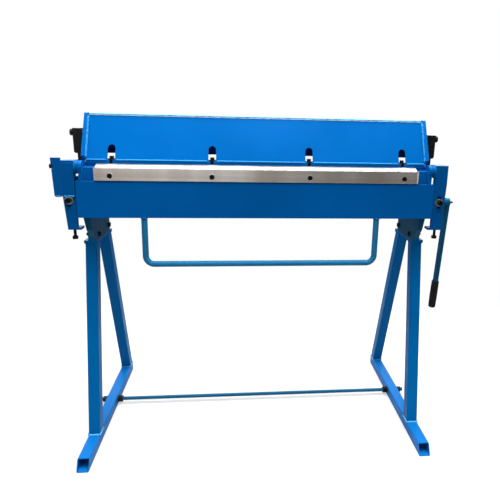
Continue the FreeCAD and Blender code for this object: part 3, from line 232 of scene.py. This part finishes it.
def moulded(name):
    """Black moulded grip with a fine matt grain."""
    g = Graph(name)
    grain = g.noise(900.0, 3.0)
    smear = g.noise(30.0, 4.0)
    base = g.blend(g.fit(smear, 0.35, 0.7, 0.0, 1.0), (0.003, 0.004, 0.0035, 1.0),
                   (0.009, 0.011, 0.010, 1.0))
    return g.set(Base_Color=base, Roughness=g.fit(smear, 0.3, 0.7, 0.42, 0.6),
                 Specular_IOR_Level=0.16, Normal=g.bump(grain, 0.15, 0.0003))


def bronze(name):
    """Cast bush bronze."""
    g = Graph(name)
    mottle = g.noise(120.0, 4.0)
    base = g.blend(mottle, (0.42, 0.27, 0.11, 1.0), (0.60, 0.42, 0.20, 1.0))
    return g.set(Base_Color=base, Metallic=1.0, Roughness=g.fit(mottle, 0.3, 0.7, 0.28, 0.45))


MATERIALS = {
    # The beam's strong pale top tone is a painted highlight along its ridge.
    "beam_paint": paint("beam_enamel", (0.0001, 0.083, 0.300, 1.0), top_dust_and_highlight=0.5),
    "apron_paint": paint("apron_enamel", (0.0002, 0.076, 0.278, 1.0)),
    "bed_paint": paint("bed_enamel", (0.0002, 0.076, 0.278, 1.0)),
    "bracket_paint": paint("bracket_enamel", (0.0003, 0.064, 0.225, 1.0)),
    "stand_paint": paint("stand_enamel", (0.0003, 0.108, 0.325, 1.0), top_dust_and_highlight=0.02),
    "handle_paint": paint("handle_enamel", (0.012, 0.127, 0.265, 1.0), gloss=0.24, shine=0.3),
    "lever_paint": paint("lever_enamel", (0.002, 0.065, 0.145, 1.0)),
    "rail_paint": paint("rail_enamel", (0.0003, 0.132, 0.430, 1.0), top_dust_and_highlight=0.02),
    "rod_paint": paint("rod_enamel", (0.010, 0.105, 0.215, 1.0), gloss=0.28, shine=0.2),
    # Painted shade: the stand brackets get a darker, greyer copy of the blue enamel.
    "shadow_paint": paint("stand_bracket_shaded_enamel", (0.007, 0.070, 0.140, 1.0), gloss=0.38),
    # Painted highlights: weld beads get lighter copies of the blue enamel so they show as bright
    # lines.
    "highlit_weld_paint": paint("highlit_weld_enamel", (0.02, 0.22, 0.52, 1.0), gloss=0.22, shine=0.3),
    "pale_highlit_weld_paint": paint("pale_highlit_weld_enamel", (0.10, 0.42, 0.72, 1.0), gloss=0.22, shine=0.35),
    "dull_steel": bare_steel("dull_steel", 0.75),
    "ground_steel": ground_steel("ground_bar"),
    "bare_steel": bare_steel("bright_steel"),
    "black_steel": black_oxide("blackened_steel", (0.004, 0.0045, 0.0055)),
    "bronze": bronze("bush_bronze"),
    "black_grip": moulded("moulded_grip"),
}
SPECIAL = {
    "stand_bracket_left": "shadow_paint",
    "stand_bracket_right": "shadow_paint",
    "clamp_lever": "lever_paint",
    "lever_hub": "lever_paint",
    "u_handle": "handle_paint",
    "tie_rod": "rod_paint",
    "foot_rail_left": "rail_paint",
    "foot_rail_right": "rail_paint",
    "bracket_clamp_washers": "dull_steel",
    "bed_table": "apron_paint",
    "nose_washers": "black_steel",
}


def dress_frame():
    """Give every carried-over node the material of its slot."""
    for part in frame["record"]["subparts"]:
        thing = NODES[part["node"]]
        name = SPECIAL.get(part["node"], part["material_slot"])
        thing.data.materials.clear()
        thing.data.materials.append(MATERIALS[name])


# ---------------------------------------------------------------- mesh building

class Solid:
    """Collects vertices and faces of one piece."""

    def __init__(self):
        self.points = []
        self.faces = []

    def rings(self, rings, closed=False, capped=True):
        """Skin between rings of equal size."""
        base = len(self.points)
        size = len(rings[0])
        for ring in rings:
            self.points.extend(ring)
        count = len(rings)
        for i in range(count if closed else count - 1):
            a, b = base + i * size, base + ((i + 1) % count) * size
            for j in range(size):
                k = (j + 1) % size
                self.faces.append((a + j, a + k, b + k, b + j))
        if capped and not closed:
            self.faces.append(tuple(base + j for j in reversed(range(size))))
            self.faces.append(tuple(base + (count - 1) * size + j for j in range(size)))

    def lathe(self, profile, origin, axis, segments=32, closed=False):
        """Turn (radius, height) pairs about an axis."""
        turn = axis.to_track_quat("Z", "Y").to_matrix()
        rings = []
        for radius, height in profile:
            ring = []
            for j in range(segments):
                angle = 2 * math.pi * j / segments
                local = Vector((radius * math.cos(angle), radius * math.sin(angle), height))
                ring.append(origin + turn @ local)
            rings.append(ring)
        self.rings(rings, closed=closed)

    def hexagon(self, origin, axis, flats, height, hole=0.0, spin=0.0):
        """A hexagonal head or nut with turned chamfers."""
        turn = axis.to_track_quat("Z", "Y").to_matrix()
        apothem = flats / 2
        crown = apothem * 0.96
        segments = 48
        shape = []

        def ring(radius_of, height_of):
            points = []
            for j in range(segments):
                angle = 2 * math.pi * j / segments
                inner = (angle % (math.pi / 3)) - math.pi / 6
                corner = apothem / math.cos(inner)
                radius = radius_of(corner)
                local = Vector((radius * math.cos(angle + spin), radius * math.sin(angle + spin),
                                height_of(corner)))
                points.append(origin + turn @ local)
            return points

        slope = math.tan(math.radians(30))
        if hole:
            shape.append(ring(lambda r: hole, lambda r: 0.0))
        shape.append(ring(lambda r: crown, lambda r: 0.0))
        shape.append(ring(lambda r: r, lambda r: (r - crown) * slope))
        shape.append(ring(lambda r: r, lambda r: height - (r - crown) * slope))
        shape.append(ring(lambda r: crown, lambda r: height))
        if hole:
            shape.append(ring(lambda r: hole, lambda r: height))
        self.rings(shape, closed=bool(hole), capped=not hole)

    def thread(self, origin, axis, radius, length, pitch, segments=24):
        """A threaded shank."""
        turn = axis.to_track_quat("Z", "Y").to_matrix()
        steps = max(8, round(length / pitch * 6))
        depth = pitch * 0.55
        rings = []
        for i in range(steps + 1):
            height = length * i / steps
            ends = min(1.0, min(height, length - height) / pitch + 0.05)
            ring = []
            for j in range(segments):
                angle = 2 * math.pi * j / segments
                wave = abs(((height / pitch - j / segments) % 1.0) - 0.5) * 2
                r = radius - depth * wave - depth * 0.6 * (1 - ends)
                local = Vector((r * math.cos(angle), r * math.sin(angle), height))
                ring.append(origin + turn @ local)
            rings.append(ring)
        self.rings(rings)

    def bead(self, path, radius, closed=False, pitch=0.0042, step=0.0014):
        """A weld bead along a path: overlapping ripples."""
        track = resample(path, step, closed)
        count = len(track)
        rings = []
        for i, point in enumerate(track):
            ahead = track[(i + 1) % count] if closed or i < count - 1 else point
            behind = track[i - 1] if closed or i > 0 else point
            along = (ahead - behind).normalized()
            side = along.orthogonal().normalized()
            up = along.cross(side)
            phase = (i * step / pitch) % 1.0
            swell = 0.80 + 0.26 * math.sqrt(max(0.0, 1 - (phase * 2 - 1) ** 2))
            swell *= 1 + 0.10 * math.sin(i * 0.37) * math.sin(i * 0.083)
            if not closed:
                swell *= min(1.0, 0.25 + min(i, count - 1 - i) * step / (radius * 1.6))
            ring = []
            for j in range(10):
                angle = 2 * math.pi * j / 10
                ring.append(point + (side * math.cos(angle) + up * math.sin(angle))
                            * radius * swell)
            rings.append(ring)
        self.rings(rings, closed=closed)

    def make(self, name, body, material, slot, replaces=()):
        """Turn the collected faces into a piece of the scene."""
        mesh = bpy.data.meshes.new(name)
        mesh.from_pydata([tuple(p) for p in self.points], [], self.faces)
        mesh.validate()
        for face in mesh.polygons:
            face.use_smooth = True
        mesh.set_sharp_from_angle(angle=math.radians(34))
        thing = bpy.data.objects.new(name, mesh)
        bpy.context.scene.collection.objects.link(thing)
        thing.data.materials.append(MATERIALS[material])
        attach(thing, body)
        if replaces:
            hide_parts(*replaces)
        return thing


def resample(path, step, closed):
    """Points at even steps along a polyline."""
    points = [Vector(p) for p in path]
    if closed:
        points.append(points[0])
    lengths = [(b - a).length for a, b in zip(points, points[1:])]
    total = sum(lengths)
    count = max(3, round(total / step))
    out = []
    for i in range(count if closed else count + 1):
        distance = total * i / count
        for (a, b), size in zip(zip(points, points[1:]), lengths):
            if distance <= size or b is points[-1]:
                out.append(a.lerp(b, min(1.0, distance / size) if size else 0.0))
                break
            distance -= size
    return out


def rectangle(x0, x1, y0, y1, z):
    """Corners of a level rectangle of the workshop drawing."""
    return [at(x0, y0, z), at(x1, y0, z), at(x1, y1, z), at(x0, y1, z)]


# ---------------------------------------------------------------- welds

# Places on the workshop drawing, in millimetres; bead radii are in metres.
FOUR = (-1.5, -0.5, 0.5, 1.5)
SLOTS = [322.5 * step for step in FOUR]
SLOT_HALF = 14.5
BAR_SCREWS = [320.0 * step for step in FOUR]
LEG_INNER, LEG_OUTER = 568, 608
FOOT_WELD_Z, FOOT_SPANS = 40.4, ((13, 53.5), (484, 526))
HEAD_WELD_Z, HEAD_SPANS = 723.6, ((119, 159.5), (260.5, 302.5))
BLOCK_WELD_Z = 734.6
BEND_Y, BEND_Z = 20, 1000
BEAM_INNER = 562.5
LIP_Y, LIP_Z = 41.0, 1022.4
ROD_Y, ROD_Z = 265, 20


def ring(centre, u, v, radius, count=36):
    """Points of a circle; u and v span its plane, radius in millimetres."""
    angles = (math.tau * k / count for k in range(count))
    return [centre + (u * math.cos(a) + v * math.sin(a)) * radius / 1000 for a in angles]


def leg_welds(side, height, spans):
    """Fillets all round the ends of the two legs of one side."""
    welds = Solid()
    x0, x1 = sorted((side * LEG_INNER, side * LEG_OUTER))
    for y0, y1 in spans:
        welds.bead(rectangle(x0, x1, y0, y1, height), 0.0034, closed=True)
    return welds


def apron_welds():
    """Beads round the handle's ends and at the apron's corners."""
    welds = Solid()
    for x in (-380.5, 395.0):
        welds.bead(ring(at(x, 11.5, 838.4), X_AXIS, Y_AXIS, 10.4, 24), 0.0026, closed=True)
    for side in (-1, 1):
        x = side * 565
        welds.bead([at(x, 11.8, 958), at(x, 11.8, 996)], 0.0022)
        welds.bead([at(side * 577, 4, 957.4), at(side * 586, 4, 957.4)], 0.0018)
    return welds


def beam_welds():
    """Beads inside both end plates, and the long one along the beam's front lip."""
    welds = Solid()
    for side in (-1, 1):
        x = side * 562.6
        welds.bead([at(x, 41.0, 1027), at(x, 98.0, 1160)], 0.0044)
        welds.bead([at(x, 113.5, 1160), at(x, 165.0, 1040)], 0.0044)
        welds.bead([at(side * 563, LIP_Y, 1011), at(side * 563, LIP_Y, 1022)], 0.0024)
        welds.bead([at(side * 575.6, 48, 1012), at(side * 575.6, 148, 1012)], 0.0018)
    slot_edges = [x + gap for x in SLOTS for gap in (-SLOT_HALF, SLOT_HALF)]
    stops = [-BEAM_INNER, *slot_edges, BEAM_INNER]
    for start, finish in zip(stops[::2], stops[1::2]):
        welds.bead([at(start, LIP_Y, LIP_Z), at(finish, LIP_Y, LIP_Z)], 0.0022, step=0.002)
    return welds


def ridge_highlight_seam():
    """Pale bead along the top of the beam, just in front of the bend: a painted highlight along the
    ridge.
    """
    seam = Solid()
    seam.bead([at(-561, 101.2, 1166.6), at(561, 101.2, 1166.6)], 0.0026, step=0.002)
    return seam


def bracket_welds():
    """Beads round the hinge bosses."""
    welds = Solid()
    for side in (-1, 1):
        boss = ring(at(side * 587.2, BEND_Y, BEND_Z), Y_AXIS, Z_AXIS, 21.0)
        welds.bead(boss, 0.0016, closed=True)
    return welds


def bed_welds():
    """Beads along the bed's end plates and ears."""
    welds = Solid()
    for side in (-1, 1):
        x = side * 565.2
        welds.bead([at(x, 33.4, 842), at(x, 33.4, 944)], 0.0030)
        welds.bead([at(side * 552, 26, 849.6), at(side * 552, 286, 849.6)], 0.0026)
        welds.bead([at(side * 551, 290.2, 852), at(side * 551, 290.2, 988)], 0.0022)
        welds.bead([at(side * 564.2, 24, 989.8), at(side * 564.2, 286, 989.8)], 0.0022)
        welds.bead([at(side * 612, 33, 850), at(side * 612, 33, 898)], 0.0022)
    return welds


def head_welds():
    """Beads between the head plates and their blocks."""
    welds = Solid()
    for side in (-1, 1):
        z = BLOCK_WELD_Z
        welds.bead([at(side * 595.6, 116, z), at(side * 595.6, 270, z)], 0.0024)
        for y in (113.4, 272.6):
            welds.bead([at(side * 570, y, z), at(side * 595, y, z)], 0.0024)
    return welds


def build_welds():
    """All the beads, in the paint each one shows."""
    for side, word in ((-1, "left"), (1, "right")):
        foot = leg_welds(side, FOOT_WELD_Z, FOOT_SPANS)
        foot.make(f"foot_welds_{word}", "stand_and_bed", "pale_highlit_weld_paint", "stand_paint")
        head = leg_welds(side, HEAD_WELD_Z, HEAD_SPANS)
        head.make(f"leg_head_welds_{word}", "stand_and_bed", "bracket_paint", "stand_paint")
    head_welds().make("head_welds", "stand_and_bed", "bracket_paint", "stand_paint")
    apron_welds().make("apron_welds", "apron", "apron_paint", "apron_paint")
    beam_welds().make("beam_welds", "clamping_beam", "highlit_weld_paint", "beam_paint")
    ridge_highlight_seam().make("ridge_highlight_seam", "clamping_beam", "pale_highlit_weld_paint", "beam_paint")
    housing = Solid()
    housing.bead([at(-651, 2.6, 908.6), at(-628, 2.6, 908.6)], 0.0028)
    housing.bead([at(-627, 4.6, 908.6), at(-591, 4.6, 908.6)], 0.0028)
    housing.make("housing_weld", "stand_and_bed", "highlit_weld_paint", "bracket_paint")
    bracket_welds().make("bracket_welds", "stand_and_bed", "stand_paint", "bracket_paint")
    bed_welds().make("bed_welds", "stand_and_bed", "highlit_weld_paint", "bed_paint")


# ---------------------------------------------------------------- fasteners

def build_fasteners():
    """Nuts, bolts and screws with turned chamfers and threads."""
    nuts = Solid()
    rod_ends = Solid()
    for side in (-1, 1):
        axis = X_AXIS * side
        for x, spin in ((549, 0.2), (611, 0.5)):
            nuts.hexagon(at(side * x, ROD_Y, ROD_Z), axis, 0.022, 0.016, 0.007, spin=spin)
        rod_ends.thread(at(side * 530, ROD_Y, ROD_Z), axis, 0.0073, 0.106, 0.002)
    nuts.make("rod_nuts", "stand_and_bed", "black_steel", "black_steel", ["tie_rod_nuts"])
    rod_ends.make("rod_threads", "stand_and_bed", "black_steel", "black_steel")

    bolts = Solid()
    bolt_nuts = Solid()
    for side in (-1, 1):
        axis = X_AXIS * side
        for y, z, spin in ((138, 752, 0.3), (256, 759, 0.9)):
            bolts.hexagon(at(side * 557, y, z), axis, 0.017, 0.007, spin=spin)
            bolts.lathe([(0.0005, 0.0), (0.005, 0.0), (0.005, 0.026), (0.0005, 0.026)],
                        at(side * 564, y, z), axis)
            bolts.thread(at(side * 589, y, z), axis, 0.005, 0.018, 0.0015)
            bolt_nuts.hexagon(at(side * 595, y, z), axis, 0.017, 0.008, 0.005, spin=spin + 0.4)
    bolts.make("stand_bolt_set", "stand_and_bed", "black_steel", "black_steel", ["stand_bolts"])
    bolt_nuts.make("stand_nut_set", "stand_and_bed", "black_steel", "black_steel", ["stand_nuts"])

    adjusters = Solid()
    for side in (-1, 1):
        foot = at(side * 609 + 3, 26.3, 764)
        adjusters.hexagon(foot, Z_AXIS, 0.017, 0.010, spin=0.25 * side)
        adjusters.thread(foot + Z_AXIS * 0.010, Z_AXIS, 0.005, 0.066, 0.0015)
    adjusters.make("adjusting_screw_set", "stand_and_bed", "black_steel", "black_steel",
                   ["bracket_adjusting_screws"])


def build_hole_rims():
    """Bright countersunk rims round the bending bar's screw holes."""
    rims = Solid()
    for x in BAR_SCREWS:
        rims.lathe([(0.0084, -0.0006), (0.0084, 0.0004), (0.0102, 0.0003), (0.0102, -0.0006)],
                   at(x, 0, 974.8), -Y_AXIS, closed=True)
    rims.make("bar_hole_rims", "apron", "bare_steel", "bare_steel")


def build_grip():
    """Moulded grip with a collar, shallow rings and a rounded end."""
    lean = math.radians(6.5)
    down = Vector((0, math.sin(lean), -math.cos(lean)))
    top = at(699, 134, 874) + down * 0.324
    length = 0.116
    radius = 0.0139
    profile = [(0.0060, 0.0), (radius - 0.0004, 0.0), (radius - 0.0001, 0.0014), (radius, 0.005)]
    for i in range(60):
        share = i / 59
        barrel = 0.0006 * math.sin(share * math.pi)
        ripple = 0.0002 * math.cos(share * math.pi * 24)
        profile.append((radius + barrel + ripple, 0.007 + (length - 0.013) * share))
    for step in range(1, 7):
        angle = step / 6 * math.pi / 2
        height = length - 0.006 + 0.006 * math.sin(angle)
        profile.append((radius * math.cos(angle) + 0.0004, height))
    grip = Solid()
    grip.lathe(profile, top, down, segments=40)
    grip.make("grip_moulding", "clamp_shaft", "black_grip", "black_grip", ["lever_grip"])


# ---------------------------------------------------------------- stage

def build_stage():
    """Round floor that fades from matt white to the backdrop's glow."""
    mesh = bpy.data.meshes.new("floor")
    angles = [math.tau * k / 64 for k in range(64)]
    rim = [(14 * math.cos(a), 14 * math.sin(a), 0.0) for a in angles]
    mesh.from_pydata(rim, [], [tuple(range(64))])
    floor = bpy.data.objects.new("floor", mesh)
    floor.location = (0, 0, -0.0002)
    bpy.context.scene.collection.objects.link(floor)
    g = Graph("pale_floor")
    length = g.add("ShaderNodeVectorMath", operation="LENGTH")
    g.join(g.coords, length.inputs[0])
    far = g.fit(length.outputs["Value"], 0.5, 2.2, 0.45, 1.0)
    far.node.interpolation_type = "SMOOTHSTEP"
    path = g.add("ShaderNodeLightPath")
    grain = g.noise(6.0, 4.0)
    tone = g.blend(grain, (0.76, 0.76, 0.76, 1.0), (0.80, 0.80, 0.80, 1.0))
    g.set(Base_Color=tone, Roughness=0.8)
    glow = g.add("ShaderNodeEmission")
    glow.inputs["Color"].default_value = (1, 1, 1, 1)
    g.join(g.fit(path.outputs["Is Camera Ray"], 0.0, 1.0, 0.18, 1.0), glow.inputs["Strength"])
    mix = g.add("ShaderNodeMixShader")
    g.join(far, mix.inputs[0])
    g.join(g.shader.outputs[0], mix.inputs[1])
    g.join(glow.outputs[0], mix.inputs[2])
    g.join(mix.outputs[0], g.tree.nodes["Material Output"].inputs["Surface"])
    mesh.materials.append(g.material)


def build_world():
    """Faint fill light, plain white behind the object."""
    world = bpy.data.worlds.new("studio")
    bpy.context.scene.world = world
    world.use_nodes = True
    tree = world.node_tree
    back = tree.nodes["Background"]
    path = tree.nodes.new("ShaderNodeLightPath")
    mix = tree.nodes.new("ShaderNodeMix")
    mix.data_type = "RGBA"
    tree.links.new(path.outputs["Is Camera Ray"], mix.inputs["Factor"])
    mix.inputs["A"].default_value = (0.085, 0.088, 0.094, 1.0)
    mix.inputs["B"].default_value = (1.0, 1.0, 1.0, 1.0)
    tree.links.new(mix.outputs["Result"], back.inputs["Color"])


def area_light(name, place, target, size, power, colour=(1, 1, 1)):
    """A soft rectangular lamp at place that looks at target."""
    light = bpy.data.lights.new(name, "AREA")
    light.shape = "RECTANGLE"
    light.size, light.size_y = size
    light.energy = power
    light.color = colour
    thing = bpy.data.objects.new(name, light)
    thing.location = place
    aim = Vector(target) - Vector(place)
    thing.rotation_mode = "QUATERNION"
    thing.rotation_quaternion = aim.to_track_quat("-Z", "Y")
    thing.visible_camera = False
    bpy.context.scene.collection.objects.link(thing)


def build_camera():
    """Camera at head height, a little left of the middle."""
    yaw, pitch, roll = 0.1, 0.214, 0.024
    ahead = Vector((math.sin(yaw) * math.cos(pitch), math.cos(yaw) * math.cos(pitch),
                    -math.sin(pitch)))
    right = Vector((math.cos(yaw), -math.sin(yaw), 0))
    up = right.cross(ahead)
    side = right * math.cos(roll) + up * math.sin(roll)
    top = up * math.cos(roll) - right * math.sin(roll)
    data = bpy.data.cameras.new("camera")
    data.sensor_width = 36
    data.lens = 33.47
    data.shift_x = -0.0742
    data.shift_y = -0.0608
    data.clip_end = 60
    camera = bpy.data.objects.new("camera", data)
    turn = Matrix((side, top, -ahead)).transposed().to_4x4()
    camera.matrix_world = Matrix.Translation(at(-64.5, -1509.3, 1165.2)) @ turn
    bpy.context.scene.collection.objects.link(camera)
    bpy.context.scene.camera = camera


dress_frame()
build_welds()
build_fasteners()
build_hole_rims()
build_grip()
build_stage()
build_world()
area_light("overhead", (0.1, -0.2, 3.3), (0.0, -0.1, 0.0), (3.0, 3.2), 345)
area_light("front_fill", (-1.2, -4.2, 1.9), (0.0, 0.0, 0.7), (3.0, 2.2), 37, (1.0, 0.97, 0.94))
area_light("left_panel", (-3.8, -1.2, 1.0), (-0.5, -0.2, 1.0), (1.6, 1.4), 8)
area_light("right_panel", (3.8, -1.2, 1.0), (0.5, -0.2, 1.0), (1.6, 1.4), 8)
area_light("back_panel", (0.0, 4.4, 2.3), (0.0, 0.0, 1.0), (6.0, 1.6), 110)
build_camera()
bpy.context.scene.view_settings.view_transform = "Standard"
